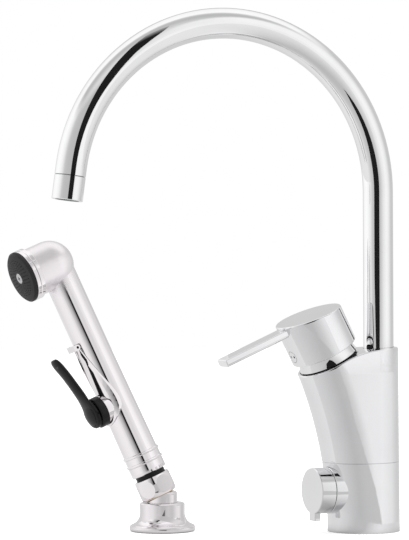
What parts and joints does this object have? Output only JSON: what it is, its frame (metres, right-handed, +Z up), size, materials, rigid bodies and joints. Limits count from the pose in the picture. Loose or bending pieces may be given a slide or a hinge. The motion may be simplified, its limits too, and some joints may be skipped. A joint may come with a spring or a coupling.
{
  "type": "side spray kitchen faucet",
  "caption": "Kitchen mixer tap with a top lever, a swivelling gooseneck spout and a dishwasher shut-off knob, beside a lever-operated hand spray in a slanted deck holder",
  "frame": {"origin": "centre of the mixer's shank socket on the deck plane", "axes": "+Z up, -Y to the user in front of the sink, +X to the user's right"},
  "size_m": [0.1396, 0.255, 0.3615],
  "materials": {
    "chrome": "polished",
    "brass": "satin",
    "ceramic": "ground flat",
    "cartridge_plastic": "moulded",
    "black_plastic": "semi gloss",
    "black_rubber": "smooth",
    "steel": "plain",
    "grey_plastic": "moulded"
  },
  "bodies": {
    "mixer_column": {"base_section": "chrome", "base_gasket": "black_rubber", "seam_seal": "black_rubber", "joining_nipple": "brass", "mixer_body": "chrome", "cartridge_housing": "cartridge_plastic", "cartridge_seals": "black_rubber", "fixed_disc": "ceramic", "cartridge_nut": "brass", "cap_ring": "chrome", "spout_bush": "grey_plastic", "spout_screw": "steel", "valve_headwork": "brass", "valve_fixed_disc": "ceramic", "valve_seal": "black_rubber", "holder_flange": "chrome", "holder_gasket": "black_rubber", "holder_cup": "chrome"},
    "spout": {"spout_tube": "chrome", "spout_spigot": "brass", "spout_o_rings": "black_rubber", "aerator_sleeve": "chrome", "aerator_insert": "grey_plastic", "aerator_seal": "black_rubber"},
    "carrier": {"stem_carrier": "cartridge_plastic", "stem_pin": "steel"},
    "lever": {"lever_stem": "steel", "lever_handle": "chrome", "lever_grub_screw": "steel", "index_plug": "chrome"},
    "disc": {"moving_disc": "ceramic"},
    "valve": {"valve_knob": "chrome", "valve_spindle": "brass", "valve_turning_disc": "ceramic"},
    "hose_end": {"hose_ferrule": "brass", "hose_nut": "chrome"},
    "handset": {"hose_washer": "black_rubber", "handset_body": "chrome", "head_ring": "chrome", "face_ring": "chrome", "face_seal": "black_rubber", "face_plate": "black_plastic", "face_screw": "steel", "boss_collar": "black_plastic", "lever_pin": "steel", "plunger_seal": "black_rubber", "plunger_spring": "steel", "lock_bail": "chrome", "catch_pin": "steel"},
    "spray_trigger": {"spray_lever": "black_plastic"},
    "plunger": {"valve_plunger": "grey_plastic"},
    "catch": {"lock_catch": "steel"}
  },
  "joints": [
    {"name": "spout_swivel", "type": "hinge", "parent": "mixer_column", "child": "spout", "pos_m": [0, 0.0121, 0.112], "axis": [0, 0, 1], "range_deg": [-57.6, 62.4]},
    {"name": "lever_turn", "type": "hinge", "parent": "mixer_column", "child": "carrier", "pos_m": [0, -0.0275, 0.119], "axis": [0, -0.454, 0.891], "range_deg": [-45, 45]},
    {"name": "lever_lift", "type": "hinge", "parent": "carrier", "child": "lever", "pos_m": [0, -0.02523, 0.11454], "axis": [-1, 0, 0], "range_deg": [0, 20]},
    {"name": "disc_slide", "type": "slide", "parent": "carrier", "child": "disc", "axis": [0, -0.891, -0.454], "range_m": [0, 0.0037]},
    {"name": "valve_turn", "type": "hinge", "parent": "mixer_column", "child": "valve", "pos_m": [0, -0.0411, 0.0292], "axis": [0, -1, 0], "range_deg": [0, 90]},
    {"name": "handset_lift", "type": "slide", "parent": "mixer_column", "child": "hose_end", "axis": [-0.1706, -0.3727, 0.9121], "range_m": [0, 0.1]},
    {"name": "handset_turn", "type": "hinge", "parent": "hose_end", "child": "handset", "pos_m": [-0.06821, -0.12859, 0.0316], "axis": [-0.1706, -0.3727, 0.9121], "range_deg": [-180, 180]},
    {"name": "spray_press", "type": "hinge", "parent": "handset", "child": "spray_trigger", "pos_m": [-0.07765, -0.17249, 0.08152], "axis": [0.9832, -0.0041, 0.1823], "range_deg": [0, 5], "stiffness_Nm_per_rad": 0.5, "springref_deg": -2.86},
    {"name": "plunger_slide", "type": "slide", "parent": "handset", "child": "plunger", "axis": [-0.0642, 0.9279, 0.3672], "range_m": [0, 0.00035]},
    {"name": "catch_flip", "type": "hinge", "parent": "handset", "child": "catch", "pos_m": [-0.08626, -0.18178, 0.12774], "axis": [-0.9832, 0.0041, -0.1823], "range_deg": [0, 60]}
  ],
  "couplings": [
    {"joint": "disc_slide", "follows": "lever_lift", "m_per_rad": 0.0105},
    {"joint": "plunger_slide", "follows": "spray_press", "m_per_rad": 0.0038}
  ]
}
